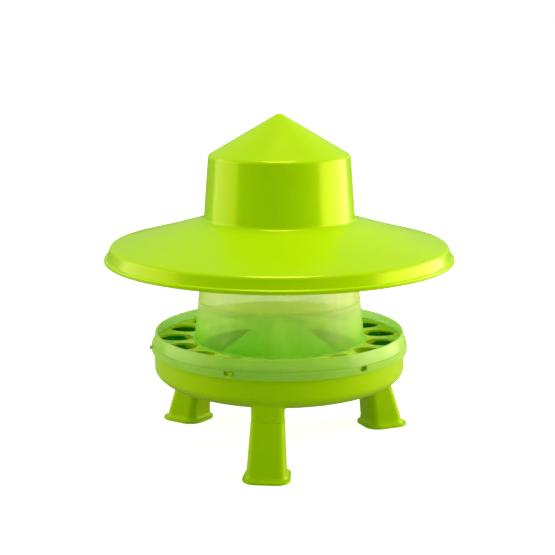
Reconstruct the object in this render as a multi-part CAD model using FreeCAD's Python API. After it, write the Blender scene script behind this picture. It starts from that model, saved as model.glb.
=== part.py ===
"""Gravity poultry feeder with a rain hat, on three push-in legs. Units are millimetres.

Frame: +Z up along the feeder's axis, origin on the ground under its centre.
The front leg points along -Y, and the other two stand 120 degrees to each side of it.
"""
import FreeCAD, Part
import math
import os

Vector = FreeCAD.Vector

# Frame and repeated features
GROUND_Z = 0.0
LEG_ANGLES = {"front_leg": 0.0, "left_leg": -120.0, "right_leg": 120.0}
SKIN = 2.5                 # wall of the opaque mouldings
CLEAR_SKIN = 2.0           # wall of the translucent mouldings

# Legs and their sockets
LEG_HEIGHT = 64.0          # from the ground to the joint under the pan
LEG_SETBACK = 5.0          # from the pan's side in to the leg's outer face at the joint
LEG_DEPTH = 32.0           # along the radius, at the joint
LEG_HALF_OUTER = 19.8      # half widths of the outer and inner faces, at the joint
LEG_HALF_INNER = 17.0
LEG_CORNER = 9.0
LEG_EDGE = 0.6
OUTER_SPLAY = 16.0         # how far the faces lean outwards from the joint to the ankle
INNER_SPLAY = 6.5
ANKLE_SPREAD = 3.0         # how much each side widens from the joint to the ankle
ANKLE_Z = 9.0
FOOT_FLARE = 5.0           # how far the foot's lip stands out from the ankle
FOOT_TOE = 3.5             # how much further it stands out at the toe
FOOT_LIP = 3.2
FOOT_EDGE = 0.8
SOCKET_DROP = 9.5          # from the pan's underside down to the joint
SOCKET_WALL = 2.2
SPIGOT_CLEARANCE = 0.25
SPIGOT_END_GAP = 0.8

# Feed pan
PAN_RADIUS = 149.0
PAN_DEPTH = 49.5
PAN_CURVE_WIDTH = 42.4     # the rounded corner between floor and side, across and up
PAN_CURVE_HEIGHT = 20.0
PAN_WALL = 3.5
CONE_SEAT_HEIGHT = 3.0
CONE_SEAT_WIDTH = 2.0

# Rim pegs and the slots that take them
PEG_COUNT = 6
FIRST_PEG_ANGLE = -15.0
PEG_RADIUS = 2.2
PEG_DROP = 3.2             # from the pan's rim down to the pegs' centres
PEG_STAND_OUT = 2.8        # beyond the guard ring's skirt
SLOT_CLEARANCE = 0.3
RING_TURN = 2.5            # degrees that the slots let the guard ring turn

# Spreading cone
CONE_SLOPE = 38.5
CONE_MARGIN = 6.6          # from the edge of the pan's flat floor in to the cone's foot
CONE_TIP_ROUND = 9.0

# Feed grille
GRILLE_THICKNESS = 2.5
GRILLE_REST = 2.2          # how far the grille reaches over the pan's rim
PORT_COUNT = 17
FIRST_PORT_ANGLE = 0.0     # over the front leg
PORT_RIB = 13.0            # width of grille between ports
PORT_INNER_BRIDGE = 2.0    # from the hub to the ports
PORT_OUTER_BRIDGE = 3.0    # from the ports to the pan's wall
PORT_LIP_WALL = 2.6
PORT_LIP_DEPTH = 10.0      # of the ports' turned-down edge, beside the hopper
PORT_LIP_REACH = 16.0      # how far out from there it runs before it has risen into the plate
COLLAR_FIT = 0.2

# Guard ring
RING_HEIGHT = 13.7         # above the pan's rim
RING_LEAN = 3.8            # how far the wall leans in from waist to top
SKIRT_FIT = 0.9            # from the pan's side to the skirt
SKIRT_TOP_GAP = 0.6        # from the pan's rim down to the skirt's shoulder
SKIRT_STEP = 1.3
SKIRT_DEPTH = 8.6
SKIRT_FLARE = 0.4
SKIRT_WALL = 2.4
RING_BEAD = 0.35
LEDGE_GAP = 0.3
LEDGE_REACH = 3.2

# Hopper: a short collar on the grille, and the tube that stands on the collar's rim
COLLAR_RADIUS = 101.4      # at the foot of the collar
COLLAR_HEIGHT = 49.5
COLLAR_TAPER = 4.9         # how much smaller its radius is at the top
COLLAR_FLANGE = 1.6
COLLAR_FOOT_DROP = 11.0
TUBE_STEP = 0.3            # from the collar's outside in to the tube's, where they meet
TUBE_SPIGOT_DEPTH = 6.0    # how far the tube's spigot reaches down inside the collar
TUBE_FIT = 0.4             # between that spigot and the collar's inside
HOPPER_BLEND = 4.0         # height over which the walls settle to their even thickness
RIM_EDGE = 0.3
TUBE_HEIGHT = 156.0        # above the collar's rim
TUBE_TOP_RADIUS = 79.4
TUBE_BEAD = 1.1
TUBE_BEAD_HEIGHT = 4.0

# Rain hat, with its heights counted from the hopper tube's rim, where it rests
HAT_RADIUS = 206.0
HAT_DROP = 109.3           # down to the lip's lowest edge
HAT_BEAD_HEIGHT = 4.8
HAT_BEAD_WIDTH = 3.4
SHOULDER_DROP = 91.5       # down to the shoulder above the hat's short skirt
SHOULDER_SETBACK = 7.4
BRIM_BREAK_RADIUS = 145.0
BRIM_BREAK_DROP = 77.4
BRIM_BREAK_ROUND = 60.0
CROWN_BASE_DROP = 60.8
CROWN_TOP_RISE = 13.7
CROWN_FIT = 0.5            # between the tube and the crown's inside
BEAD_FIT = 1.0             # what the crown's top adds to that, beyond the tube's bead
ROOF_RISE = 62.9           # up to where the roof's slopes would meet
PEAK_ROUND = 9.0
CROWN_ROUND = 5.0
BRIM_FILLET = 5.0
SHOULDER_ROUND = 5.0
LIP_ROUND = 1.6
HAT_RIB_COUNT = 6
HAT_RIB_WALL = 2.0
HAT_RIB_REACH = 8.0

# Places that several pieces share
JOINT_Z = GROUND_Z + LEG_HEIGHT
UNDERSIDE_Z = JOINT_Z + SOCKET_DROP
FLOOR_Z = UNDERSIDE_Z + SKIN
RIM_Z = UNDERSIDE_Z + PAN_DEPTH
PEG_Z = RIM_Z - PEG_DROP
GRILLE_TOP_Z = RIM_Z + GRILLE_THICKNESS
COLLAR_TOP_Z = GRILLE_TOP_Z + COLLAR_HEIGHT
TUBE_TOP_Z = COLLAR_TOP_Z + TUBE_HEIGHT
FLOOR_RADIUS = PAN_RADIUS - PAN_CURVE_WIDTH
PAN_INNER_RADIUS = PAN_RADIUS - PAN_WALL
GRILLE_RADIUS = PAN_INNER_RADIUS + GRILLE_REST
CONE_RADIUS = FLOOR_RADIUS - CONE_MARGIN
SPIGOT_INSET = SOCKET_WALL + SPIGOT_CLEARANCE
COLLAR_TOP_RADIUS = COLLAR_RADIUS - COLLAR_TAPER
COLLAR_SPIGOT_RADIUS = COLLAR_RADIUS - COLLAR_FLANGE - CLEAR_SKIN / 2
GRILLE_BORE = COLLAR_SPIGOT_RADIUS + COLLAR_FIT
HUB_RADIUS = GRILLE_BORE + SKIN
TUBE_FOOT_RADIUS = COLLAR_TOP_RADIUS - TUBE_STEP
TUBE_SPIGOT_RADIUS = COLLAR_TOP_RADIUS - CLEAR_SKIN - TUBE_FIT
SKIRT_INNER = PAN_RADIUS + SKIRT_FIT
SKIRT_OUTER = SKIRT_INNER + SKIRT_WALL
PEG_TIP = SKIRT_OUTER + PEG_STAND_OUT
TUBE_LINE = ((TUBE_FOOT_RADIUS, COLLAR_TOP_Z), (TUBE_TOP_RADIUS, TUBE_TOP_Z))
PORT_NEAR = HUB_RADIUS + PORT_INNER_BRIDGE
PORT_FAR = PAN_INNER_RADIUS - PORT_OUTER_BRIDGE
PORT_CENTRE = (PORT_NEAR + PORT_FAR) / 2
PORT_HALF_LENGTH = (PORT_FAR - PORT_NEAR) / 2
PORT_HALF_WIDTH = (2 * math.pi * PORT_CENTRE / PORT_COUNT - PORT_RIB) / 2
LEG_TOP = {
    "inner": PAN_RADIUS - LEG_SETBACK - LEG_DEPTH,
    "outer": PAN_RADIUS - LEG_SETBACK,
    "half_inner": LEG_HALF_INNER,
    "half_outer": LEG_HALF_OUTER,
}
LEG_ANKLE = {
    "inner": LEG_TOP["inner"] + INNER_SPLAY,
    "outer": LEG_TOP["outer"] + OUTER_SPLAY,
    "half_inner": LEG_HALF_INNER + ANKLE_SPREAD,
    "half_outer": LEG_HALF_OUTER + ANKLE_SPREAD,
}


def rounded_loop(corners):
    """A closed planar wire through (point, radius) corners, with an arc at each rounded one."""
    arcs = {}
    starts = []
    ends = []
    for index, (point, radius) in enumerate(corners):
        before = corners[index - 1][0]
        after = corners[(index + 1) % len(corners)][0]
        if radius <= 0:
            starts.append(point)
            ends.append(point)
            continue
        to_before = (before - point).normalize()
        to_after = (after - point).normalize()
        half_angle = to_before.getAngle(to_after) / 2
        reach = radius / math.tan(half_angle)
        start = point + to_before * reach
        end = point + to_after * reach
        bisector = (to_before + to_after).normalize()
        middle = point + bisector * (radius / math.sin(half_angle) - radius)
        starts.append(start)
        ends.append(end)
        arcs[index] = Part.Arc(start, middle, end).toShape()
    edges = []
    for index in range(len(corners)):
        if index in arcs:
            edges.append(arcs[index])
        following = starts[(index + 1) % len(corners)]
        if ends[index].distanceToPoint(following) > 1e-6:
            edges.append(Part.LineSegment(ends[index], following).toShape())
    return Part.Wire(edges)


def turned(profile):
    """Revolve (radius, height, rounding) profile corners about the feeder's axis."""
    corners = [(Vector(radius, 0, height), rounding) for radius, height, rounding in profile]
    face = Part.Face(rounded_loop(corners))
    return face.revolve(Vector(0, 0, 0), Vector(0, 0, 1), 360)


def upright_cylinder(radius, low, high):
    """A cylinder on the feeder's axis between two heights."""
    return Part.makeCylinder(radius, high - low, Vector(0, 0, low))


def line_at(start, end, height):
    """The radius at a height on the straight line through two (radius, height) points."""
    share = (height - start[1]) / (end[1] - start[1])
    return start[0] + (end[0] - start[0]) * share


def spun(shape, angle):
    """A copy of a shape turned about the feeder's axis."""
    copy = shape.copy()
    copy.rotate(Vector(0, 0, 0), Vector(0, 0, 1), angle)
    return copy


def ring_of(shape, count, first_angle=0.0):
    """Copies of a shape, evenly spaced about the feeder's axis."""
    return [spun(shape, first_angle + index * 360 / count) for index in range(count)]


def export(name, shape):
    """Write one sub-part, after making sure that it is a closed solid."""
    shape = shape.removeSplitter()
    if not shape.isValid() or shape.Volume <= 0 or len(shape.Solids) != 1:
        raise ValueError(name + " is not one sound solid")
    shape.Solids[0].exportStep("parts/" + name + ".step")
    print(name, round(shape.Volume / 1000, 1), "cm3")


# Legs -----------------------------------------------------------------------------------

def leg_section(size, height, inset=0.0, spread=0.0, toe=0.0):
    """The leg's rounded four-sided outline at one height, for the leg that points along -Y."""
    grow = spread - inset
    inner = size["inner"] - grow
    outer = size["outer"] + grow + toe
    half_inner = size["half_inner"] + grow
    half_outer = size["half_outer"] + grow
    corner = LEG_CORNER + grow
    points = ((-half_inner, -inner), (-half_outer, -outer), (half_outer, -outer), (half_inner, -inner))
    return rounded_loop([(Vector(x, y, height), corner) for x, y in points])


def leg_body():
    """The leg's outer form: a tapered post that splays outwards to a flared, lipped foot."""
    sections = [
        leg_section(LEG_ANKLE, GROUND_Z, inset=FOOT_EDGE, spread=FOOT_FLARE, toe=FOOT_TOE),
        leg_section(LEG_ANKLE, GROUND_Z + FOOT_EDGE, spread=FOOT_FLARE, toe=FOOT_TOE),
        leg_section(LEG_ANKLE, GROUND_Z + FOOT_LIP, spread=FOOT_FLARE, toe=FOOT_TOE),
        leg_section(LEG_ANKLE, GROUND_Z + ANKLE_Z),
        leg_section(LEG_TOP, JOINT_Z - LEG_EDGE),
        leg_section(LEG_TOP, JOINT_Z, inset=LEG_EDGE),
    ]
    return Part.makeLoft(sections, True, True)


def leg_hollow():
    """The core that leaves the leg a thin-walled shell, open at the foot."""
    drop = SKIN / 2
    sections = [
        leg_section(LEG_ANKLE, GROUND_Z - 1, inset=SKIN, spread=FOOT_FLARE, toe=FOOT_TOE),
        leg_section(LEG_ANKLE, GROUND_Z + FOOT_LIP - drop, inset=SKIN, spread=FOOT_FLARE, toe=FOOT_TOE),
        leg_section(LEG_ANKLE, GROUND_Z + ANKLE_Z - drop, inset=SKIN),
        leg_section(LEG_TOP, JOINT_Z - SKIN, inset=SPIGOT_INSET + SKIN),
    ]
    return Part.makeLoft(sections, True, True)


def post_prism(inset, low, high):
    """An upright prism of the leg's top outline, moved in by an inset."""
    outline = leg_section(LEG_TOP, low, inset=inset)
    return Part.Face(outline).extrude(Vector(0, 0, high - low))


def lowest_solid(shape):
    return min(shape.Solids, key=lambda solid: solid.CenterOfMass.z)


def leg():
    """One leg with the spigot that pushes up into the pan's socket."""
    ceiling = pan_outer_solid()
    ceiling.translate(Vector(0, 0, -SPIGOT_END_GAP))
    spigot = lowest_solid(post_prism(SPIGOT_INSET, JOINT_Z - SKIN, RIM_Z).cut(ceiling))
    hollow_top = UNDERSIDE_Z - SPIGOT_END_GAP - SKIN
    spigot_hollow = post_prism(SPIGOT_INSET + SKIN, JOINT_Z - SKIN, hollow_top)
    return leg_body().fuse(spigot).cut(leg_hollow()).cut(spigot_hollow)


# Pan ------------------------------------------------------------------------------------

def pan_solid(side_wall, floor_wall):
    """The space inside the pan's outer skin, or inside its walls, as a solid."""
    centre = Vector(FLOOR_RADIUS, 0, UNDERSIDE_Z + PAN_CURVE_HEIGHT)
    side = centre + Vector(PAN_CURVE_WIDTH - side_wall, 0, 0)
    bottom = centre - Vector(0, 0, PAN_CURVE_HEIGHT - floor_wall)
    curve = Part.Arc(Part.Ellipse(side, bottom, centre), 0, math.pi / 2).toShape()
    middle = Vector(0, 0, bottom.z)
    top = Vector(side.x, 0, RIM_Z)
    axis_top = Vector(0, 0, RIM_Z)
    lines = [(middle, bottom), (side, top), (top, axis_top), (axis_top, middle)]
    floor, wall_line, lid, axis = [Part.LineSegment(start, end).toShape() for start, end in lines]
    section = Part.Face(Part.Wire([floor, curve, wall_line, lid, axis]))
    return section.revolve(Vector(0, 0, 0), Vector(0, 0, 1), 360)


def pan_outer_solid():
    return pan_solid(0.0, 0.0)


def pan_inner_solid():
    return pan_solid(PAN_WALL, SKIN)


def rim_peg():
    """One peg on the pan's rim, over the front leg."""
    root = PAN_RADIUS - PAN_WALL / 2
    return Part.makeCylinder(PEG_RADIUS, PEG_TIP - root, Vector(0, -root, PEG_Z), Vector(0, -1, 0))


def feed_pan():
    """The round trough with its leg sockets below and its ring of pegs on the rim."""
    shell = pan_outer_solid()
    socket = post_prism(0.0, JOINT_Z, RIM_Z - PAN_DEPTH / 2)
    pocket = lowest_solid(post_prism(SOCKET_WALL, JOINT_Z - 1, RIM_Z).cut(pan_outer_solid()))
    shell = shell.fuse([spun(socket, angle) for angle in LEG_ANGLES.values()])
    shell = shell.cut(pan_inner_solid())
    shell = shell.cut([spun(pocket, angle) for angle in LEG_ANGLES.values()])
    seat_radius = CONE_RADIUS - SKIN - COLLAR_FIT
    seat = upright_cylinder(seat_radius, UNDERSIDE_Z + SKIN / 2, FLOOR_Z + CONE_SEAT_HEIGHT)
    seat_hole = upright_cylinder(seat_radius - CONE_SEAT_WIDTH, FLOOR_Z, RIM_Z)
    shell = shell.fuse(seat.cut(seat_hole))
    return shell.fuse(ring_of(rim_peg(), PEG_COUNT, FIRST_PEG_ANGLE))


# Cone, grille and guard ring --------------------------------------------------------------

def rounded_tip(peak_z, slope_angle, rounding):
    """What is cut from a cone's peak to leave it rounded."""
    ball_z = peak_z - rounding / math.cos(slope_angle)
    touch_radius = rounding * math.sin(slope_angle)
    touch_z = ball_z + rounding * math.cos(slope_angle)
    above = upright_cylinder(touch_radius * 2, touch_z, peak_z + rounding)
    return above.cut(Part.makeSphere(rounding, Vector(0, 0, ball_z)))


def spreading_cone():
    """The hollow cone that turns the feed outwards, standing over the ring on the pan's floor."""
    angle = math.radians(CONE_SLOPE)
    foot_top = FLOOR_Z + CONE_SEAT_HEIGHT + SKIN
    peak = foot_top + CONE_RADIUS * math.tan(angle)
    inner_radius = CONE_RADIUS - SKIN
    inner_peak = peak - SKIN / math.cos(angle)
    inner_foot_top = inner_peak - inner_radius * math.tan(angle)
    outside = turned([(CONE_RADIUS, FLOOR_Z, 0), (CONE_RADIUS, foot_top, SKIN),
                      (0, peak, 0), (0, FLOOR_Z, 0)])
    inside = turned([(inner_radius, FLOOR_Z - 1, 0), (inner_radius, inner_foot_top, 0),
                     (0, inner_peak, 0), (0, FLOOR_Z - 1, 0)])
    return outside.cut(inside).cut(rounded_tip(peak, angle, CONE_TIP_ROUND))


def port_column(grow, low, high):
    """An upright oval column through one port, drawn over the front leg."""
    centre = Vector(0, -PORT_CENTRE, low)
    across = Vector(PORT_HALF_WIDTH + grow, 0, 0)
    along = Vector(0, PORT_HALF_LENGTH + grow, 0)
    longer, shorter = sorted((across, along), key=lambda half: -half.Length)
    oval = Part.Ellipse(centre + longer, centre + shorter, centre)
    return Part.Face(Part.Wire(oval.toShape())).extrude(Vector(0, 0, high - low))


def port_lip():
    """The turned-down edge of one port: deep beside the hopper, rising into the plate."""
    low = RIM_Z - PORT_LIP_DEPTH
    plate = RIM_Z + GRILLE_THICKNESS / 2
    near = PORT_NEAR - PORT_LIP_WALL
    level = near + PORT_LIP_REACH
    far = PORT_FAR + PORT_LIP_WALL + 1
    width = PORT_HALF_WIDTH + PORT_LIP_WALL + 1
    side = [Vector(-width, -near + 1, low - 1), Vector(-width, -near, low),
            Vector(-width, -level, plate), Vector(-width, -far, plate),
            Vector(-width, -far, low - 1)]
    below = Part.Face(Part.makePolygon(side + side[:1])).extrude(Vector(2 * width, 0, 0))
    return port_column(PORT_LIP_WALL, low, GRILLE_TOP_Z).cut(below)


def feed_grille():
    """The ring-shaped grille with its feeding ports, resting on the pan's rim."""
    low = RIM_Z - PORT_LIP_DEPTH
    body = upright_cylinder(GRILLE_RADIUS, RIM_Z, GRILLE_TOP_Z)
    body = body.fuse(upright_cylinder(HUB_RADIUS, low, GRILLE_TOP_Z))
    body = body.fuse(ring_of(port_lip(), PORT_COUNT, FIRST_PORT_ANGLE))
    port = port_column(0.0, low - 1, GRILLE_TOP_Z + 1)
    body = body.cut(ring_of(port, PORT_COUNT, FIRST_PORT_ANGLE))
    return body.cut(upright_cylinder(GRILLE_BORE, low - 1, GRILLE_TOP_Z + 1))


def ring_slot():
    """One round-ended slot, from its peg towards the side that the ring turns away from."""
    radius = PEG_RADIUS + SLOT_CLEARANCE
    inner = PAN_RADIUS
    outer = PEG_TIP + 1
    hole = Part.makeCylinder(radius, outer - inner, Vector(0, -inner, PEG_Z), Vector(0, -1, 0))
    corners = ((inner, -radius), (outer, -radius), (outer, radius), (inner, radius))
    section = Part.Face(rounded_loop([(Vector(reach, 0, PEG_Z + rise), 0) for reach, rise in corners]))
    section.rotate(Vector(0, 0, 0), Vector(0, 0, 1), -90 - RING_TURN)
    sweep = section.revolve(Vector(0, 0, 0), Vector(0, 0, 1), RING_TURN)
    return hole.fuse([sweep, spun(hole, -RING_TURN)])


def guard_ring():
    """The translucent band that keeps feed in: a leaning wall above, and a slotted skirt below."""
    shoulder = RIM_Z - SKIRT_TOP_GAP
    skirt_low = shoulder - SKIRT_DEPTH
    top = RIM_Z + RING_HEIGHT
    waist = SKIRT_OUTER - SKIRT_STEP
    top_outer = waist - RING_LEAN
    ledge_low = GRILLE_TOP_Z + LEDGE_GAP
    ledge_high = ledge_low + CLEAR_SKIN
    ledge_radius = GRILLE_RADIUS - LEDGE_REACH
    wall_over_ledge = line_at((waist, shoulder), (top_outer, top), ledge_high) - CLEAR_SKIN
    rebate = GRILLE_RADIUS + SLOT_CLEARANCE
    rebate_low = RIM_Z + SKIRT_FLARE
    ring = turned([
        (SKIRT_INNER, skirt_low, 0.4),
        (SKIRT_OUTER + SKIRT_FLARE, skirt_low, 0.8),
        (SKIRT_OUTER, shoulder, 0.5),
        (waist, shoulder + SKIRT_TOP_GAP, 0.3),
        (top_outer + RING_BEAD, top, 0.7),
        (top_outer - CLEAR_SKIN - RING_BEAD, top, 0.7),
        (wall_over_ledge, ledge_high, 0.3),
        (ledge_radius, ledge_high, 0.4),
        (ledge_radius, ledge_low, 0.4),
        (rebate, ledge_low, 0.2),
        (rebate, rebate_low, 0),
        (SKIRT_INNER, rebate_low, 0),
    ])
    return ring.cut(ring_of(ring_slot(), PEG_COUNT, FIRST_PEG_ANGLE))


# Hopper -----------------------------------------------------------------------------------

def hopper_collar():
    """The hopper's short lower stage, flanged over the grille, whose rim carries the tube."""
    wall_line = ((COLLAR_RADIUS, GRILLE_TOP_Z), (COLLAR_TOP_RADIUS, COLLAR_TOP_Z))
    foot = GRILLE_TOP_Z - COLLAR_FOOT_DROP
    flange_top = GRILLE_TOP_Z + CLEAR_SKIN
    blend_z = flange_top + HOPPER_BLEND
    return turned([
        (COLLAR_SPIGOT_RADIUS - CLEAR_SKIN, foot, 0.5),
        (COLLAR_SPIGOT_RADIUS, foot, 0.5),
        (COLLAR_SPIGOT_RADIUS, GRILLE_TOP_Z, 0),
        (COLLAR_RADIUS + COLLAR_FLANGE, GRILLE_TOP_Z, 0),
        (COLLAR_RADIUS + COLLAR_FLANGE, flange_top, 0.6),
        (line_at(*wall_line, flange_top), flange_top, 1.2),
        (COLLAR_TOP_RADIUS, COLLAR_TOP_Z, RIM_EDGE),
        (COLLAR_TOP_RADIUS - CLEAR_SKIN, COLLAR_TOP_Z, RIM_EDGE),
        (line_at(*wall_line, blend_z) - CLEAR_SKIN, blend_z, 0),
        (COLLAR_SPIGOT_RADIUS - CLEAR_SKIN, GRILLE_TOP_Z, 0),
    ])


def hopper_tube():
    """The tall translucent reservoir, tapering to the beaded rim that the hat rests on."""
    spigot_low = COLLAR_TOP_Z - TUBE_SPIGOT_DEPTH
    blend_z = COLLAR_TOP_Z + HOPPER_BLEND
    bead_low = TUBE_TOP_Z - TUBE_BEAD_HEIGHT
    bead_start = bead_low - TUBE_BEAD
    return turned([
        (TUBE_SPIGOT_RADIUS - CLEAR_SKIN, spigot_low, 0.5),
        (TUBE_SPIGOT_RADIUS, spigot_low, 0.5),
        (TUBE_SPIGOT_RADIUS, COLLAR_TOP_Z, 0),
        (TUBE_FOOT_RADIUS, COLLAR_TOP_Z, RIM_EDGE),
        (line_at(*TUBE_LINE, bead_start), bead_start, 0.4),
        (TUBE_TOP_RADIUS + TUBE_BEAD, bead_low, 0.6),
        (TUBE_TOP_RADIUS + TUBE_BEAD, TUBE_TOP_Z, 0.8),
        (TUBE_TOP_RADIUS - CLEAR_SKIN, TUBE_TOP_Z, 0.6),
        (line_at(*TUBE_LINE, blend_z) - CLEAR_SKIN, blend_z, 0),
        (TUBE_SPIGOT_RADIUS - CLEAR_SKIN, COLLAR_TOP_Z, 0),
    ])


# Rain hat ----------------------------------------------------------------------------------

def crown_radius(height):
    """The crown's outer radius at a height, so that its inside clears the hopper tube."""
    return line_at(*TUBE_LINE, height) + CROWN_FIT + SKIN


def hat_outer_path():
    """The hat's outer corners, from the peak out to the top of the lip, as (radius, height)."""
    crown_top = TUBE_TOP_Z + CROWN_TOP_RISE
    crown_base = TUBE_TOP_Z - CROWN_BASE_DROP
    return [
        (0.0, TUBE_TOP_Z + ROOF_RISE),
        (crown_radius(crown_top) + TUBE_BEAD + BEAD_FIT, crown_top),
        (crown_radius(crown_base), crown_base),
        (BRIM_BREAK_RADIUS, TUBE_TOP_Z - BRIM_BREAK_DROP),
        (HAT_RADIUS - SHOULDER_SETBACK, TUBE_TOP_Z - SHOULDER_DROP),
        (HAT_RADIUS - HAT_BEAD_WIDTH, TUBE_TOP_Z - HAT_DROP + HAT_BEAD_HEIGHT),
    ]


def moved_in(path, distance):
    """A path of (radius, height) corners moved inwards, with mitred corners."""
    lines = []
    for (r0, z0), (r1, z1) in zip(path, path[1:]):
        length = math.hypot(r1 - r0, z1 - z0)
        across = (z1 - z0) / length * distance
        up = -(r1 - r0) / length * distance
        lines.append((r0 + across, z0 + up, r1 - r0, z1 - z0))
    r, z, dr, dz = lines[0]
    moved = [(0.0, z - r / dr * dz)]
    for (ra, za, da, ea), (rb, zb, db, eb) in zip(lines, lines[1:]):
        share = ((rb - ra) * eb - (zb - za) * db) / (da * eb - ea * db)
        moved.append((ra + da * share, za + ea * share))
    r, z, dr, dz = lines[-1]
    moved.append((r + dr, z + dz))
    return moved


def hat_rib(wall_radius):
    """One upright rib inside the crown, whose foot rests on the hopper tube's rim."""
    reach = TUBE_TOP_RADIUS - HAT_RIB_REACH
    corner = Vector(-HAT_RIB_WALL / 2, -wall_radius, TUBE_TOP_Z)
    return Part.makeBox(HAT_RIB_WALL, wall_radius - reach, ROOF_RISE, corner)


def rain_hat():
    """The one-piece hat: a roofed crown over the hopper, a sloping brim and a beaded lip."""
    outer = hat_outer_path()
    inner = moved_in(outer, SKIN)
    lip_low = TUBE_TOP_Z - HAT_DROP
    roundings = (0, CROWN_ROUND, BRIM_FILLET, BRIM_BREAK_ROUND, SHOULDER_ROUND)
    inner_roundings = (0, CROWN_ROUND - SKIN, BRIM_FILLET + SKIN, BRIM_BREAK_ROUND, SHOULDER_ROUND - SKIN)
    profile = [(r, z, rounding) for (r, z), rounding in zip(outer, roundings)]
    profile += [
        (*outer[-1], LIP_ROUND / 2),
        (HAT_RADIUS, outer[-1][1], LIP_ROUND),
        (HAT_RADIUS, lip_low, LIP_ROUND),
        (outer[-1][0] - SKIN / 2, lip_low, LIP_ROUND / 2),
        (*inner[-1], 0),
    ]
    profile += [(r, z, rounding) for (r, z), rounding in zip(inner[-2::-1], inner_roundings[::-1])]
    slope_angle = math.atan2(outer[0][1] - outer[1][1], outer[1][0])
    shell = turned(profile).cut(rounded_tip(outer[0][1], slope_angle, PEAK_ROUND))
    rib_wall = inner[1][0] + SKIN / 2
    crown_inside = turned([(0, TUBE_TOP_Z - 1, 0), (rib_wall, TUBE_TOP_Z - 1, 0),
                           (rib_wall, inner[1][1], 0), (0, inner[0][1] + SKIN / 2, 0)])
    ribs = [rib.common(crown_inside) for rib in ring_of(hat_rib(rib_wall), HAT_RIB_COUNT)]
    return shell.fuse(ribs)


def main():
    os.makedirs("parts", exist_ok=True)
    export("feed_pan", feed_pan())
    export("spreading_cone", spreading_cone())
    export("feed_grille", feed_grille())
    export("guard_ring", guard_ring())
    export("hopper_collar", hopper_collar())
    export("hopper_tube", hopper_tube())
    export("rain_hat", rain_hat())
    for name, angle in LEG_ANGLES.items():
        export(name, spun(leg(), angle))


main()
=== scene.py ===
"""Looks for the gravity poultry feeder: moulded pieces, their plastics, and a soft white studio.

Shapes are drawn in millimetres, about the feeder's upright axis, and finished in metres.
"""
import math
import bmesh
import bpy
from mathutils import Matrix, Vector


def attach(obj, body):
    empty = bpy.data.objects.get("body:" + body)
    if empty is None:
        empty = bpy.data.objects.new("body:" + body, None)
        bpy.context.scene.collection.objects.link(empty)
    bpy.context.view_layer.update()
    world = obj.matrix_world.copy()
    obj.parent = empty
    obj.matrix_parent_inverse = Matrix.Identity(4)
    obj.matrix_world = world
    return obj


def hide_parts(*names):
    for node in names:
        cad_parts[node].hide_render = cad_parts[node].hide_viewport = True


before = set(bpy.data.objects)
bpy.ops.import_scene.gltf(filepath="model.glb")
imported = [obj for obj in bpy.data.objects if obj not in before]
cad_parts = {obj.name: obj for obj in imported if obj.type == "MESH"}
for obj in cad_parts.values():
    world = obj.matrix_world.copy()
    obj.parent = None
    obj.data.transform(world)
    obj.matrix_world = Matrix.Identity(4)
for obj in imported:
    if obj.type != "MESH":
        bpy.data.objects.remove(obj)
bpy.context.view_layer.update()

MM = 0.001
TURN_STEPS = 192           # facets round a full turn
ARC_STEP = math.radians(9)

# Walls
SKIN = 2.5
CLEAR_SKIN = 2.0

# Legs and sockets
LEG_ANGLES = {"front_leg": 0.0, "left_leg": -120.0, "right_leg": 120.0}
JOINT_Z = 64.0
UNDERSIDE_Z = 73.5
LEG_CORNER = 9.0
LEG_TOP = {"inner": 112.0, "outer": 144.0, "half_inner": 17.0, "half_outer": 19.8}
LEG_ANKLE = {"inner": 118.5, "outer": 160.0, "half_inner": 20.0, "half_outer": 22.8}
ANKLE_Z = 9.0
FOOT_LIP = 3.2
FOOT_CORNER = 17.0
FOOT_FLARE = 5.0
FOOT_TOE = 3.5
SOCKET_WALL = 2.2
SPIGOT_INSET = 2.45
SPIGOT_END_GAP = 0.8
SOCKET_FILLET = 2.4
SOCKET_STEP = 0.4          # how far the socket sits inside the leg's shoulder
SOCKET_ROOT_STEPS = 4      # arcs of the socket's soft root at the pan
BURIED = 0.9               # how far a socket's walls run up inside the pan's floor
JOINT_EDGE = 0.6
SHOULDER_EDGE = 0.8
CORNER_SEGMENTS = 8
SIDE_CUTS = 7
FOOT_SKIRT = (             # height, and share of the way from the ankle out to the lip
    (0.0, 0.93),
    (0.2, 0.98),
    (0.7, 1.0),
    (FOOT_LIP - 0.8, 1.0),
    (FOOT_LIP - 0.2, 0.96),
    (FOOT_LIP, 0.86),
    (FOOT_LIP + 0.1, 0.56),
    (FOOT_LIP + 0.6, 0.42),
    (FOOT_LIP + 1.6, 0.25),
    (FOOT_LIP + 3.2, 0.09),
    (ANKLE_Z + 1.0, 0.0),
)
FOOT_INSIDE_SHARE = 0.72

# Pan
PAN_RADIUS = 149.0
PAN_INNER_RADIUS = 145.5
RIM_Z = 123.0
FLOOR_Z = 76.0
FLOOR_RADIUS = 106.6
PAN_CURVE_HEIGHT = 20.0
PAN_CURVE_SEGMENTS = 20
SEAT_OUTER = 97.3
SEAT_INNER = 95.3
SEAT_TOP_Z = 79.0
PEG_COUNT = 6
FIRST_PEG_ANGLE = -15.0
PEG_RADIUS = 2.2
PEG_ROOT = 147.2
PEG_TIP = 155.1
PEG_Z = 119.8
PEG_SEGMENTS = 28
PEG_EDGE = 0.6
PEG_EDGE_SEGMENTS = 4

# Cone
CONE_RADIUS = 100.0
CONE_FOOT_TOP = 81.5
CONE_SLOPE = math.radians(38.5)
CONE_TIP_ROUND = 9.0

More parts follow.
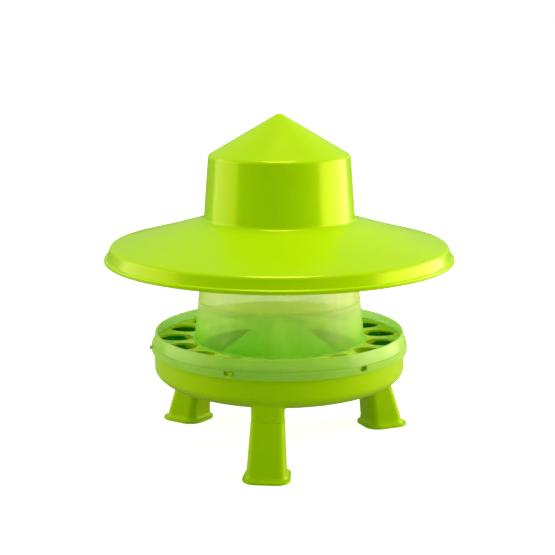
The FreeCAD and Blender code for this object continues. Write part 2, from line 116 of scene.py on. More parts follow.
# Hopper
GRILLE_TOP_Z = 125.5
COLLAR_RADIUS = 101.4
COLLAR_TOP_RADIUS = 96.5
COLLAR_TOP_Z = 175.0
COLLAR_FLANGE = 1.6
COLLAR_SPIGOT_RADIUS = 98.8
COLLAR_FOOT_Z = 114.5
HOPPER_BLEND = 4.0
TUBE_FOOT_RADIUS = 96.2
TUBE_SPIGOT_RADIUS = 94.1
TUBE_SPIGOT_LOW = 169.0
TUBE_TOP_RADIUS = 79.4
TUBE_TOP_Z = 331.0
TUBE_BEAD = 1.1
TUBE_BEAD_HEIGHT = 4.0

# Rain hat
HAT_RADIUS = 206.0
HAT_PEAK_Z = 393.9
CROWN_TOP = (83.03, 344.7)
CROWN_BASE = (88.89, 270.2)
BRIM_BREAK = (145.0, 253.6)
SHOULDER = (198.6, 239.5)
LIP_TOP = (202.6, 226.5)
LIP_LOW_Z = 221.7
PEAK_ROUND = 9.0
HAT_RIB_COUNT = 6
HAT_RIB_WALL = 2.0
HAT_RIB_REACH = 71.4
HAT_RIB_EDGE = 0.5
HAT_ROUNDING = (5.0, 5.0, 60.0, 5.0)             # crown top, crown base, brim break, shoulder
HAT_INSIDE_ROUNDING = (2.5, 7.5, 60.0, 2.5)
TIP_ROUNDING_SHARE = 0.98                        # keeps a tip's arc just off the axis

# Where the hopper's plastic turns denser, in metres
SEAM_LOW = 0.169
SEAM_HIGH = 0.178

# Camera
CAMERA_DISTANCE = 1.567
CAMERA_HEIGHT = 0.5205
CAMERA_TURN = math.radians(5.4)
CAMERA_PITCH = math.radians(11.61)
CAMERA_YAW = math.radians(-0.08)
CAMERA_LENS = 87.41


# Shaping ------------------------------------------------------------------------------

def line_at(start, end, height):
    """Radius at a height on the straight line through two (radius, height) points."""
    share = (height - start[1]) / (end[1] - start[1])
    return start[0] + (end[0] - start[0]) * share


def moved_in(path, distance):
    """A path of (radius, height) corners moved inwards, with mitred corners."""
    lines = []
    for (r0, z0), (r1, z1) in zip(path, path[1:]):
        length = math.hypot(r1 - r0, z1 - z0)
        across = (z1 - z0) / length * distance
        up = -(r1 - r0) / length * distance
        lines.append((r0 + across, z0 + up, r1 - r0, z1 - z0))
    r, z, dr, dz = lines[0]
    moved = [(0.0, z - r / dr * dz)]
    for (ra, za, da, ea), (rb, zb, db, eb) in zip(lines, lines[1:]):
        share = ((rb - ra) * eb - (zb - za) * db) / (da * eb - ea * db)
        moved.append((ra + da * share, za + ea * share))
    r, z, dr, dz = lines[-1]
    moved.append((r + dr, z + dz))
    return moved


def round_corner(bm, vert, before, after, radius):
    """Round one corner of a flat outline with an arc of that radius."""
    here = vert.co.copy()
    to_before = (before - here).normalized()
    to_after = (after - here).normalized()
    half_angle = to_before.angle(to_after) / 2
    reach = radius / math.tan(half_angle)
    segments = max(3, math.ceil((math.pi - 2 * half_angle) / ARC_STEP))
    bmesh.ops.bevel(
        bm, geom=[vert], offset=reach, offset_type="OFFSET", segments=segments,
        profile=0.5, affect="VERTICES", clamp_overlap=False, material=-1,
    )


def lathe(profile):
    """Turn (radius, height, rounding) corners about the upright axis into a closed shell."""
    bm = bmesh.new()
    points = [Vector((radius, 0, height)) for radius, height, rounding in profile]
    corners = [bm.verts.new(point) for point in points]
    bm.faces.new(corners)
    for index, (*_, rounding) in enumerate(profile):
        if rounding > 0:
            before = points[index - 1]
            after = points[(index + 1) % len(points)]
            round_corner(bm, corners[index], before, after, rounding)
    bmesh.ops.delete(bm, geom=bm.faces[:], context="FACES_ONLY")
    off_axis = [edge for edge in bm.edges if max(vert.co.x for vert in edge.verts) > 1e-5]
    on_axis = [edge for edge in bm.edges if edge not in off_axis]
    bmesh.ops.delete(bm, geom=on_axis, context="EDGES")
    bmesh.ops.spin(
        bm, geom=bm.verts[:] + bm.edges[:], cent=(0, 0, 0), axis=(0, 0, 1), dvec=(0, 0, 0),
        angle=2 * math.pi, steps=TURN_STEPS, use_merge=True, use_normal_flip=False,
        use_duplicate=False,
    )
    bmesh.ops.remove_doubles(bm, verts=bm.verts[:], dist=1e-4)
    bmesh.ops.recalc_face_normals(bm, faces=bm.faces[:])
    return bm


def spun_copies(bm, geom, count, first_angle=0.0):
    """Leave that many evenly spaced copies of some geometry about the upright axis."""
    bmesh.ops.rotate(
        bm, verts=[item for item in geom if isinstance(item, bmesh.types.BMVert)],
        cent=(0, 0, 0), matrix=Matrix.Rotation(math.radians(first_angle), 3, "Z"),
    )
    for index in range(1, count):
        copy = bmesh.ops.duplicate(bm, geom=geom)["geom"]
        verts = [item for item in copy if isinstance(item, bmesh.types.BMVert)]
        turn = Matrix.Rotation(math.radians(index * 360 / count), 3, "Z")
        bmesh.ops.rotate(bm, verts=verts, cent=(0, 0, 0), matrix=turn)


def everything(bm, known=()):
    """All the vertices, edges and faces of a mesh that aren't known yet."""
    known = set(known)
    return [item for item in bm.verts[:] + bm.edges[:] + bm.faces[:] if item not in known]


def leg_loop(bm, size, height, grow=0.0, toe=0.0, corner=LEG_CORNER):
    """The leg's rounded four-sided outline as a closed loop of edges at one height."""
    inner = size["inner"] - grow
    outer = size["outer"] + grow + toe
    half_inner = size["half_inner"] + grow
    half_outer = size["half_outer"] + grow
    points = [(-half_inner, -inner), (-half_outer, -outer), (half_outer, -outer), (half_inner, -inner)]
    known = everything(bm)
    corners = [bm.verts.new((x, y, height)) for x, y in points]
    bm.faces.new(corners)
    bmesh.ops.bevel(
        bm, geom=corners, offset=corner + grow, offset_type="OFFSET", segments=CORNER_SEGMENTS,
        profile=0.5, affect="VERTICES", clamp_overlap=False, material=-1,
    )
    added = everything(bm, known)
    edges = [item for item in added if isinstance(item, bmesh.types.BMEdge)]
    longest = sorted(edges, key=lambda edge: -edge.calc_length())[:4]
    bmesh.ops.subdivide_edges(bm, edges=longest, cuts=SIDE_CUTS, use_grid_fill=False)
    added = everything(bm, known)
    faces = [item for item in added if isinstance(item, bmesh.types.BMFace)]
    bmesh.ops.delete(bm, geom=faces, context="FACES_ONLY")
    return [item for item in everything(bm, known) if isinstance(item, bmesh.types.BMEdge)]


def foot_loop(bm, height, share):
    """The foot's outline, as a share of the way from the ankle out to the lip."""
    rounder = LEG_CORNER + (FOOT_CORNER - LEG_CORNER - FOOT_FLARE) * share
    return leg_loop(bm, LEG_ANKLE, height, FOOT_FLARE * share, FOOT_TOE * share, rounder)


def loop_verts(loop):
    return list({vert for edge in loop for vert in edge.verts})


def pan_bottom(radius):
    """Height of the pan's outer skin at a radius."""
    share = min(1.0, max(0.0, (radius - FLOOR_RADIUS) / (PAN_RADIUS - FLOOR_RADIUS)))
    return UNDERSIDE_Z + PAN_CURVE_HEIGHT * (1 - math.sqrt(1 - share * share))


def rest_on_pan(loop, offset):
    """Lift a loop's points to the pan's skin, that far above it or below."""
    for vert in loop_verts(loop):
        vert.co.z = pan_bottom(math.hypot(vert.co.x, vert.co.y)) + offset


def bridge(bm, loops):
    """Join each loop to the next with faces."""
    for lower, upper in zip(loops, loops[1:]):
        bmesh.ops.bridge_loops(bm, edges=lower + upper)


# Pieces -------------------------------------------------------------------------------

def add_piece(name, bm, body, materials, replaced):
    """Finish a mesh as a named piece that rides on its body in place of a plain one."""
    bmesh.ops.scale(bm, vec=(MM, MM, MM), verts=bm.verts[:])
    mesh = bpy.data.meshes.new(name)
    bm.to_mesh(mesh)
    bm.free()
    for material in materials:
        mesh.materials.append(material)
    mesh.polygons.foreach_set("use_smooth", [True] * len(mesh.polygons))
    piece = bpy.data.objects.new(name, mesh)
    bpy.context.scene.collection.objects.link(piece)
    even = piece.modifiers.new("even_shading", "WEIGHTED_NORMAL")
    even.mode = "FACE_AREA"
    even.weight = 50
    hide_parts(replaced)
    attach(piece, body)
    return piece


def hat_ribs(bm, wall_radius, roof_z):
    """Upright ribs inside the crown, whose feet rest on the hopper tube's rim."""
    depth = wall_radius - HAT_RIB_REACH
    known = everything(bm)
    bmesh.ops.create_cube(bm, size=1.0)
    rib = everything(bm, known)
    verts = [item for item in rib if isinstance(item, bmesh.types.BMVert)]
    edges = [item for item in rib if isinstance(item, bmesh.types.BMEdge)]
    height = CROWN_TOP[1] - TUBE_TOP_Z
    bmesh.ops.scale(bm, vec=(HAT_RIB_WALL, depth, height), verts=verts)
    bmesh.ops.translate(bm, vec=(0, -wall_radius + depth / 2, TUBE_TOP_Z + height / 2), verts=verts)
    inner_verts = [vert for vert in verts if vert.co.y > -HAT_RIB_REACH - 1]
    inner_top = [vert for vert in inner_verts if vert.co.z > TUBE_TOP_Z + 1]
    bmesh.ops.translate(bm, vec=(0, 0, roof_z - CROWN_TOP[1]), verts=inner_top)
    upright = [edge for edge in edges if all(vert in inner_verts for vert in edge.verts)
               and abs(edge.verts[0].co.z - edge.verts[1].co.z) > 1]
    bmesh.ops.bevel(
        bm, geom=upright, offset=HAT_RIB_EDGE, offset_type="OFFSET", segments=3, profile=0.5,
        affect="EDGES", clamp_overlap=True, material=-1,
    )
    spun_copies(bm, everything(bm, known), HAT_RIB_COUNT)


def make_rain_hat(lime):
    outer = [(0.0, HAT_PEAK_Z), CROWN_TOP, CROWN_BASE, BRIM_BREAK, SHOULDER, LIP_TOP]
    inner = moved_in(outer, SKIN)
    slope = math.atan2(HAT_PEAK_Z - CROWN_TOP[1], CROWN_TOP[0])
    tip_z = HAT_PEAK_Z - PEAK_ROUND / math.cos(slope) + PEAK_ROUND
    tip_reach = PEAK_ROUND * math.tan(slope / 2)
    profile = [(0.0, tip_z, 0), (tip_reach, tip_z, PEAK_ROUND * TIP_ROUNDING_SHARE)]
    profile += [(r, z, rounding) for (r, z), rounding in zip(outer[1:5], HAT_ROUNDING)]
    profile += [
        (*LIP_TOP, 0.8),
        (HAT_RADIUS, LIP_TOP[1], 1.6),
        (HAT_RADIUS, LIP_LOW_Z, 1.6),
        (LIP_TOP[0] - SKIN / 2, LIP_LOW_Z, 0.8),
        (*inner[-1], 0),
    ]
    inner_corners = zip(inner[4:0:-1], HAT_INSIDE_ROUNDING[::-1])
    profile += [(r, z, rounding) for (r, z), rounding in inner_corners]
    profile.append((*inner[0], 0))
    bm = lathe(profile)
    wall_radius = inner[1][0] + SKIN / 2
    roof_z = CROWN_TOP[1] + (wall_radius - HAT_RIB_REACH) * math.tan(slope) - SKIN / 2
    hat_ribs(bm, wall_radius, roof_z)
    return add_piece("rain_hat_moulding", bm, "rain_hat", [lime], "rain_hat")


def make_hopper_tube(clear):
    line = ((TUBE_FOOT_RADIUS, COLLAR_TOP_Z), (TUBE_TOP_RADIUS, TUBE_TOP_Z))
    blend_z = COLLAR_TOP_Z + HOPPER_BLEND
    bead_low = TUBE_TOP_Z - TUBE_BEAD_HEIGHT
    bead_start = bead_low - TUBE_BEAD
    spigot_inner = TUBE_SPIGOT_RADIUS - CLEAR_SKIN
    bm = lathe([
        (spigot_inner, TUBE_SPIGOT_LOW, 0.5),
        (TUBE_SPIGOT_RADIUS, TUBE_SPIGOT_LOW, 0.5),
        (TUBE_SPIGOT_RADIUS, COLLAR_TOP_Z, 0.2),
        (TUBE_FOOT_RADIUS, COLLAR_TOP_Z, 0.4),
        (line_at(*line, bead_start), bead_start, 0.4),
        (TUBE_TOP_RADIUS + TUBE_BEAD, bead_low, 0.6),
        (TUBE_TOP_RADIUS + TUBE_BEAD, TUBE_TOP_Z, 0.8),
        (TUBE_TOP_RADIUS - CLEAR_SKIN, TUBE_TOP_Z, 0.6),
        (line_at(*line, blend_z) - CLEAR_SKIN, blend_z, 2.0),
        (spigot_inner, COLLAR_TOP_Z, 2.0),
    ])
    return add_piece("hopper_tube_moulding", bm, "hopper_tube", [clear], "hopper_tube")


def make_hopper_collar(clear):
    line = ((COLLAR_RADIUS, GRILLE_TOP_Z), (COLLAR_TOP_RADIUS, COLLAR_TOP_Z))
    flange_radius = COLLAR_RADIUS + COLLAR_FLANGE
    flange_top = GRILLE_TOP_Z + CLEAR_SKIN
    blend_z = flange_top + HOPPER_BLEND
    spigot_inner = COLLAR_SPIGOT_RADIUS - CLEAR_SKIN
    bm = lathe([
        (spigot_inner, COLLAR_FOOT_Z, 0.5),
        (COLLAR_SPIGOT_RADIUS, COLLAR_FOOT_Z, 0.5),
        (COLLAR_SPIGOT_RADIUS, GRILLE_TOP_Z, 0.3),
        (flange_radius, GRILLE_TOP_Z, 0.2),
        (flange_radius, flange_top, 0.8),
        (line_at(*line, flange_top), flange_top, 1.0),
        (COLLAR_TOP_RADIUS, COLLAR_TOP_Z, 0.4),
        (COLLAR_TOP_RADIUS - CLEAR_SKIN, COLLAR_TOP_Z, 0.4),
        (line_at(*line, blend_z) - CLEAR_SKIN, blend_z, 2.0),
        (spigot_inner, GRILLE_TOP_Z, 2.0),
    ])
    return add_piece("hopper_collar_moulding", bm, "pan", [clear], "hopper_collar")


def make_spreading_cone(deep):
    peak = CONE_FOOT_TOP + CONE_RADIUS * math.tan(CONE_SLOPE)
    tip_z = peak - CONE_TIP_ROUND / math.cos(CONE_SLOPE) + CONE_TIP_ROUND
    tip_reach = CONE_TIP_ROUND * math.tan(CONE_SLOPE / 2)
    inner_radius = CONE_RADIUS - SKIN
    inner_peak = peak - SKIN / math.cos(CONE_SLOPE)
    bm = lathe([
        (0.0, tip_z, 0),
        (tip_reach, tip_z, CONE_TIP_ROUND * TIP_ROUNDING_SHARE),
        (CONE_RADIUS, CONE_FOOT_TOP, 2.5),
        (CONE_RADIUS, FLOOR_Z, 0.3),
        (inner_radius, FLOOR_Z, 0.3),
        (inner_radius, inner_peak - inner_radius * math.tan(CONE_SLOPE), 0.5),
        (0.0, inner_peak, 0),
    ])
    # The cone takes the darker green material: painted shade for the shade it sits in under the hat
    # and the grille.
    return add_piece("spreading_cone_moulding", bm, "pan", [deep], "spreading_cone")


def pan_shell():
    """The pan's bowl, with its rounded rim and the ring on its floor that centres the cone."""
    outer = []
    inner = []
    curve_z = UNDERSIDE_Z + PAN_CURVE_HEIGHT
    for step in range(PAN_CURVE_SEGMENTS + 1):
        angle = math.pi / 2 * step / PAN_CURVE_SEGMENTS
        across = math.sin(angle)
        down = math.cos(angle)
        outer.append((FLOOR_RADIUS + (PAN_RADIUS - FLOOR_RADIUS) * across,
                      curve_z - PAN_CURVE_HEIGHT * down, 0))
        inner.append((FLOOR_RADIUS + (PAN_INNER_RADIUS - FLOOR_RADIUS) * across,
                      curve_z - (curve_z - FLOOR_Z) * down, 0))
    profile = [(0.0, UNDERSIDE_Z, 0)] + outer
    profile += [(PAN_RADIUS, RIM_Z, 0.8), (PAN_INNER_RADIUS, RIM_Z, 0.8)]
    profile += inner[::-1]
    profile += [
        (SEAT_OUTER, FLOOR_Z, 0.4),
        (SEAT_OUTER, SEAT_TOP_Z, 0.4),
        (SEAT_INNER, SEAT_TOP_Z, 0.4),
        (SEAT_INNER, FLOOR_Z, 0.4),
        (0.0, FLOOR_Z, 0),
    ]
    return lathe(profile)


def add_sockets(bm):
    """Three sockets under the pan, hollow for the legs' spigots, with a soft root at the pan."""
    known = everything(bm)
    edge = JOINT_EDGE
    outside = [
        leg_loop(bm, LEG_TOP, JOINT_Z, grow=-SOCKET_STEP - edge),
        leg_loop(bm, LEG_TOP, JOINT_Z + edge * 0.3, grow=-SOCKET_STEP - edge * 0.3),
        leg_loop(bm, LEG_TOP, JOINT_Z + edge, grow=-SOCKET_STEP),
    ]
    for turn in range(SOCKET_ROOT_STEPS + 1):
        angle = math.pi / 2 * turn / SOCKET_ROOT_STEPS
        spread = SOCKET_FILLET * (1 - math.cos(angle))
        root = leg_loop(bm, LEG_TOP, JOINT_Z, grow=spread - SOCKET_STEP)
        rest_on_pan(root, -SOCKET_FILLET * (1 - math.sin(angle)))
        outside.append(root)
    buried = leg_loop(bm, LEG_TOP, JOINT_Z, grow=SOCKET_FILLET - SOCKET_STEP)
    rest_on_pan(buried, BURIED)
    inside_top = leg_loop(bm, LEG_TOP, JOINT_Z, grow=-SOCKET_WALL)
    inside_foot = leg_loop(bm, LEG_TOP, JOINT_Z, grow=-SOCKET_WALL)
    rest_on_pan(inside_top, BURIED)
    outside.append(buried)
    bridge(bm, outside + [inside_top, inside_foot] + outside[:1])
    spun_copies(bm, everything(bm, known), len(LEG_ANGLES))


def add_pegs(bm):
    """The ring of round pegs on the pan's rim, with softened ends."""
    known = everything(bm)
    bmesh.ops.create_cone(
        bm, cap_ends=True, cap_tris=False, segments=PEG_SEGMENTS, radius1=PEG_RADIUS,
        radius2=PEG_RADIUS, depth=PEG_TIP - PEG_ROOT,
    )
    peg = everything(bm, known)
    verts = [item for item in peg if isinstance(item, bmesh.types.BMVert)]
    end = [item for item in peg if isinstance(item, bmesh.types.BMEdge)
           and min(vert.co.z for vert in item.verts) > 0]
    bmesh.ops.rotate(bm, verts=verts, cent=(0, 0, 0), matrix=Matrix.Rotation(math.pi / 2, 3, "X"))
    bmesh.ops.translate(bm, vec=(0, -(PEG_TIP + PEG_ROOT) / 2, PEG_Z), verts=verts)
    bmesh.ops.bevel(
        bm, geom=end, offset=PEG_EDGE, offset_type="OFFSET", segments=PEG_EDGE_SEGMENTS, profile=0.5,
        affect="EDGES", clamp_overlap=True, material=-1,
    )
    spun_copies(bm, everything(bm, known), PEG_COUNT, FIRST_PEG_ANGLE)


def make_feed_pan(lime, deep):
    bm = pan_shell()
    # Faces inside the bowl below the rim take the second, darker green material: painted shade for the
    # trough's shadowed inside under the grille.
    for face in bm.faces:
        centre = face.calc_center_median()
        radius = math.hypot(centre.x, centre.y)
        in_painted_shade = radius < PAN_INNER_RADIUS + 0.1 and centre.z > pan_bottom(radius) + SKIN / 2
        face.material_index = 1 if in_painted_shade and centre.z < RIM_Z - 0.5 else 0
    shell = everything(bm)
    add_sockets(bm)
    add_pegs(bm)
    added = [item for item in everything(bm, shell) if isinstance(item, bmesh.types.BMFace)]
    bmesh.ops.recalc_face_normals(bm, faces=added)
    return add_piece("feed_pan_moulding", bm, "pan", [lime, deep], "feed_pan")


def make_leg(name, lime):
    """A splayed hollow leg with a flared foot, and the spigot that goes up into its socket."""
    bm = bmesh.new()
    outside = [foot_loop(bm, height, share) for height, share in FOOT_SKIRT]
    edge = SHOULDER_EDGE
    outside.append(leg_loop(bm, LEG_TOP, JOINT_Z - edge))
    outside.append(leg_loop(bm, LEG_TOP, JOINT_Z - edge * 0.3, grow=-edge * 0.3))
    outside.append(leg_loop(bm, LEG_TOP, JOINT_Z, grow=-edge))
    outside.append(leg_loop(bm, LEG_TOP, JOINT_Z, grow=-SPIGOT_INSET))
    spigot_top = leg_loop(bm, LEG_TOP, JOINT_Z, grow=-SPIGOT_INSET)
    rest_on_pan(spigot_top, -SPIGOT_END_GAP)
    outside.append(spigot_top)
    hollow_top = UNDERSIDE_Z - SPIGOT_END_GAP - SKIN
    inside = [
        leg_loop(bm, LEG_TOP, hollow_top, grow=-SPIGOT_INSET - SKIN),
        leg_loop(bm, LEG_TOP, JOINT_Z - SKIN, grow=-SPIGOT_INSET - SKIN),
        leg_loop(bm, LEG_ANKLE, ANKLE_Z - SKIN / 2, grow=-SKIN),
        foot_loop(bm, FOOT_LIP - SKIN / 2, FOOT_INSIDE_SHARE),
        foot_loop(bm, 0.0, FOOT_INSIDE_SHARE),
    ]
    bridge(bm, outside)
    bridge(bm, inside + outside[:1])
    bmesh.ops.edgeloop_fill(bm, edges=spigot_top)
    bmesh.ops.edgeloop_fill(bm, edges=inside[0])
    bmesh.ops.recalc_face_normals(bm, faces=bm.faces[:])
    turn = Matrix.Rotation(math.radians(LEG_ANGLES[name]), 3, "Z")
    bmesh.ops.rotate(bm, verts=bm.verts[:], cent=(0, 0, 0), matrix=turn)
    return add_piece(name + "_moulding", bm, name, [lime], name)


# Materials ----------------------------------------------------------------------------

def set_input(node, name, value):
    node.inputs[name].default_value = value


def for_camera(tree, seen, unseen, output):
    """Show the camera one shader, and give the light that reaches the object the other."""
    path = tree.nodes.new("ShaderNodeLightPath")
    choose = tree.nodes.new("ShaderNodeMixShader")
    tree.links.new(path.outputs["Is Camera Ray"], choose.inputs["Fac"])
    tree.links.new(unseen, choose.inputs[1])
    tree.links.new(seen, choose.inputs[2])
    tree.links.new(choose.outputs["Shader"], output.inputs["Surface"])


def new_plastic(name):
    material = bpy.data.materials.new(name)
    material.use_nodes = True
    tree = material.node_tree
    tree.nodes.clear()
    output = tree.nodes.new("ShaderNodeOutputMaterial")
    shader = tree.nodes.new("ShaderNodeBsdfPrincipled")
    tree.links.new(shader.outputs["BSDF"], output.inputs["Surface"])
    return material, tree, shader


def object_noise(tree, scale, stretch=(1, 1, 1), detail=3.0, roughness=0.5):
    """Noise in the piece's own space, in features per metre, stretched along its axes."""
    place = tree.nodes.new("ShaderNodeTexCoord")
    mapping = tree.nodes.new("ShaderNodeMapping")
    set_input(mapping, "Scale", stretch)
    noise = tree.nodes.new("ShaderNodeTexNoise")
    set_input(noise, "Scale", scale)
    set_input(noise, "Detail", detail)
    set_input(noise, "Roughness", roughness)
    tree.links.new(place.outputs["Object"], mapping.inputs["Vector"])
    tree.links.new(mapping.outputs["Vector"], noise.inputs["Vector"])
    return noise.outputs["Fac"]


def between(tree, value, low, high, from_low=0.3, from_high=0.7):
    """A value spread from one range to another."""
    spread = tree.nodes.new("ShaderNodeMapRange")
    set_input(spread, "From Min", from_low)
    set_input(spread, "From Max", from_high)
    set_input(spread, "To Min", low)
    set_input(spread, "To Max", high)
    tree.links.new(value, spread.inputs["Value"])
    return spread.outputs["Result"]


def blend_colours(tree, factor, first, second):
    """A colour between two, each a colour or another node's output."""
    mix = tree.nodes.new("ShaderNodeMix")
    mix.data_type = "RGBA"
    tree.links.new(factor, mix.inputs["Factor"])
    for name, colour in (("A", first), ("B", second)):
        target = [item for item in mix.inputs if item.name == name and item.type == "RGBA"][0]
        if isinstance(colour, tuple):
            target.default_value = (*colour, 1.0)
        else:
            tree.links.new(colour, target)
    return [item for item in mix.outputs if item.type == "RGBA"][0]


def height_in_object(tree, low, high):
    """0 at one height of the object and 1 at another, in metres."""
    place = tree.nodes.new("ShaderNodeTexCoord")
    split = tree.nodes.new("ShaderNodeSeparateXYZ")
    tree.links.new(place.outputs["Object"], split.inputs["Vector"])
    return between(tree, split.outputs["Z"], 0.0, 1.0, low, high)


def moulded_bump(tree, shader, fine_scale, fine_strength, sink_scale, sink_strength):
    """The fine peel of a moulded face over the slow unevenness of a cooling wall."""
    slow = tree.nodes.new("ShaderNodeBump")
    set_input(slow, "Strength", sink_strength)
    set_input(slow, "Distance", 0.002)
    tree.links.new(object_noise(tree, sink_scale, detail=1.0), slow.inputs["Height"])
    fine = tree.nodes.new("ShaderNodeBump")
    set_input(fine, "Strength", fine_strength)
    set_input(fine, "Distance", 0.0003)
    tree.links.new(object_noise(tree, fine_scale, detail=2.0), fine.inputs["Height"])
    tree.links.new(slow.outputs["Normal"], fine.inputs["Normal"])
    tree.links.new(fine.outputs["Normal"], shader.inputs["Normal"])


def lime_plastic(name, pale, deep, sheen_level, rough=(0.2, 0.3)):
    """Opaque glossy polypropylene with faint flow marks in its colour and gloss."""
    material, tree, shader = new_plastic(name)
    flow = object_noise(tree, 7.0, (1, 1, 0.25), 3.0)
    speckle = object_noise(tree, 160.0, detail=2.0)
    colour = blend_colours(tree, between(tree, flow, 0.0, 1.0), deep, pale)
    darker = tuple(channel * 0.95 for channel in pale)
    colour = blend_colours(tree, between(tree, speckle, 0.0, 0.4, 0.2, 0.8), colour, darker)
    tree.links.new(colour, shader.inputs["Base Color"])
    gloss = object_noise(tree, 38.0, (1, 1, 0.5), 1.0)
    tree.links.new(between(tree, gloss, rough[0], rough[1]), shader.inputs["Roughness"])
    set_input(shader, "Specular IOR Level", sheen_level)
    set_input(shader, "Specular Tint", (1.0, 1.0, 0.02, 1.0))
    moulded_bump(tree, shader, 900.0, 0.05, 18.0, 0.04)
    return material


def clear_plastic(name, low_colour, high_colour, fade, haze, top_haze=0.0):
    """Milky see-through polypropylene, denser towards its edges and above the hopper's seam."""
    material, tree, shader = new_plastic(name)
    rise = height_in_object(tree, *fade)
    colour = blend_colours(tree, rise, low_colour, high_colour)
    cloud = object_noise(tree, 9.0, (1, 1, 0.35), 4.0)
    paler = tuple(min(1.0, channel * 1.12 + 0.02) for channel in high_colour)
    colour = blend_colours(tree, between(tree, cloud, 0.0, 0.35), colour, paler)
    tree.links.new(colour, shader.inputs["Base Color"])
    facing = tree.nodes.new("ShaderNodeLayerWeight")
    set_input(facing, "Blend", 0.3)
    edge = between(tree, facing.outputs["Facing"], haze[0], haze[1], 0.1, 0.95)
    streak = object_noise(tree, 30.0, (1, 1, 0.08), 2.0)
    uneven = between(tree, streak, 0.94, 1.06)
    above = tree.nodes.new("ShaderNodeMath")
    above.operation = "MULTIPLY_ADD"
    set_input(above, 1, top_haze)
    tree.links.new(height_in_object(tree, SEAM_LOW, SEAM_HIGH), above.inputs[0])
    tree.links.new(edge, above.inputs[2])
    density = tree.nodes.new("ShaderNodeMath")
    density.operation = "MULTIPLY"
    tree.links.new(above.outputs["Value"], density.inputs[0])
    tree.links.new(uneven, density.inputs[1])
    tree.links.new(density.outputs["Value"], shader.inputs["Alpha"])
    gloss = object_noise(tree, 24.0, (1, 1, 0.3), 3.0)
    tree.links.new(between(tree, gloss, 0.14, 0.24), shader.inputs["Roughness"])
    set_input(shader, "Specular IOR Level", 0.5)
    set_input(shader, "Subsurface Weight", 0.6)
    set_input(shader, "Subsurface Radius", (1.0, 1.0, 0.6))
    set_input(shader, "Subsurface Scale", 0.006)
    moulded_bump(tree, shader, 700.0, 0.06, 22.0, 0.06)
    return material


def studio_floor():
    """White where it is seen, and a dim grey sheet for the light that it throws back."""
    material, tree, shader = new_plastic("studio_floor")
    set_input(shader, "Base Color", (0.86, 0.86, 0.86, 1))
    set_input(shader, "Roughness", 0.9)
    set_input(shader, "Specular IOR Level", 0.1)
    set_input(shader, "Emission Color", (1, 1, 1, 1))
    set_input(shader, "Emission Strength", 0.8)
    dim = tree.nodes.new("ShaderNodeBsdfDiffuse")
    set_input(dim, "Color", (0.42, 0.46, 0.36, 1))
    output = [node for node in tree.nodes if node.type == "OUTPUT_MATERIAL"][0]
    for_camera(tree, shader.outputs["BSDF"], dim.outputs["BSDF"], output)
    return material


# Studio -------------------------------------------------------------------------------

def make_camera():
    data = bpy.data.cameras.new("studio_camera")
    data.lens = CAMERA_LENS
    camera = bpy.data.objects.new("studio_camera", data)
    bpy.context.scene.collection.objects.link(camera)
    across = CAMERA_DISTANCE * math.sin(CAMERA_TURN)
    back = -CAMERA_DISTANCE * math.cos(CAMERA_TURN)
    camera.location = (across, back, CAMERA_HEIGHT)
    camera.rotation_euler = (math.pi / 2 - CAMERA_PITCH, 0, CAMERA_TURN - CAMERA_YAW)
    bpy.context.scene.camera = camera


def soft_box(name, angle, distance, height, width, tall, power, colour, aim_z=0.22):
    """A soft light at a bearing from the front, aimed at the feeder."""
    data = bpy.data.lights.new(name, "AREA")
    data.shape = "RECTANGLE"
    data.size = width
    data.size_y = tall
    data.energy = power
    data.color = colour
    light = bpy.data.objects.new(name, data)
    bpy.context.scene.collection.objects.link(light)
    bearing = math.radians(angle)
    place = Vector((distance * math.sin(bearing), -distance * math.cos(bearing), height))
    light.location = place
    light.rotation_euler = (Vector((0, 0, aim_z)) - place).to_track_quat("-Z", "Y").to_euler()
    light.visible_camera = False


def make_world():
    """Dim greenish fill for the object, and plain white behind it."""
    world = bpy.data.worlds.new("studio")
    bpy.context.scene.world = world
    world.use_nodes = True
    tree = world.node_tree
    tree.nodes.clear()
    output = tree.nodes.new("ShaderNodeOutputWorld")
    fill = tree.nodes.new("ShaderNodeBackground")
    set_input(fill, "Color", (0.72, 1.0, 0.5, 1))
    set_input(fill, "Strength", 0.5)
    white = tree.nodes.new("ShaderNodeBackground")
    set_input(white, "Color", (1, 1, 1, 1))
    set_input(white, "Strength", 1.0)
    for_camera(tree, white.outputs["Background"], fill.outputs["Background"], output)


def make_floor():
    bm = bmesh.new()
    bmesh.ops.create_grid(bm, x_segments=1, y_segments=1, size=12)
    mesh = bpy.data.meshes.new("studio_floor")
    bm.to_mesh(mesh)
    bm.free()
    mesh.materials.append(studio_floor())
    floor = bpy.data.objects.new("studio_floor", mesh)
    bpy.context.scene.collection.objects.link(floor)


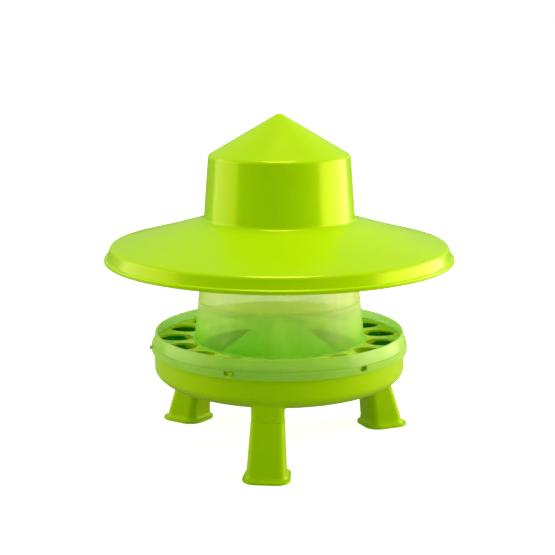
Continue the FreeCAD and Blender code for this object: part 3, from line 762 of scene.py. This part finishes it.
def finish_node(name, material):
    """Give a carried-over node its finish."""
    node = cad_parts[name]
    node.data.materials.clear()
    node.data.materials.append(material)


make_camera()
make_world()
make_floor()
soft_box("left_box", -88, 1.5, 0.4, 1.5, 1.6, 14.5, (1.0, 0.84, 0.66))
soft_box("right_box", 102, 1.5, 0.3, 1.9, 1.6, 36, (1.0, 0.86, 0.66))
soft_box("top_box", 0, 0.02, 1.9, 0.7, 0.7, 14, (1.0, 0.82, 0.62))
soft_box("hopper_glow", 0, 0.001, 0.322, 0.12, 0.12, 0.3, (1.0, 1.0, 0.8), aim_z=0.1)
bpy.context.scene.view_settings.view_transform = "Standard"

hat_lime = lime_plastic("hat_lime", (0.52, 0.82, 0.001), (0.48, 0.79, 0.001), 1.0, (0.16, 0.24))
pan_lime = lime_plastic("pan_lime", (0.5, 0.78, 0.001), (0.46, 0.74, 0.001), 0.7, (0.26, 0.34))
leg_lime = lime_plastic("leg_lime", (0.48, 0.76, 0.001), (0.44, 0.72, 0.001), 0.5, (0.3, 0.4))
grille_lime = lime_plastic("grille_lime", (0.66, 0.88, 0.01), (0.6, 0.84, 0.01), 0.6, (0.18, 0.28))
# Darker green for the spreading cone: painted shade, standing in for the shade inside the hopper and
# under the grille.
painted_shade_cone_lime = lime_plastic("painted_shade_cone_lime", (0.08, 0.33, 0.003), (0.06, 0.29, 0.002), 0.3, (0.3, 0.4))
# Darker green for the inside of the pan: painted shade, standing in for the shade in the trough under
# the grille.
painted_shade_trough_green = lime_plastic("painted_shade_trough_green", (0.03, 0.34, 0.012), (0.02, 0.3, 0.01), 0.2, (0.3, 0.4))
# The hopper's colour runs with height from a saturated green at the foot to a pale yellow-lime higher
# up. This is painted light: greener where the lime grille shows through the foot, paler where the
# hat's underside is reflected in the upper wall.
hopper_clear = clear_plastic(
    "hopper_clear", (0.32, 0.86, 0.02), (0.95, 1.0, 0.46),
    fade=(0.128, 0.195), haze=(0.34, 0.7), top_haze=0.2,
)
ring_clear = clear_plastic(
    "ring_clear", (0.5, 1.0, 0.11), (0.58, 1.0, 0.17), fade=(0.115, 0.137), haze=(0.7, 0.92),
)

make_rain_hat(hat_lime)
make_hopper_tube(hopper_clear)
make_hopper_collar(hopper_clear)
make_spreading_cone(painted_shade_cone_lime)
make_feed_pan(pan_lime, painted_shade_trough_green)
for leg_name in LEG_ANGLES:
    make_leg(leg_name, leg_lime)
finish_node("feed_grille", grille_lime)
finish_node("guard_ring", ring_clear)
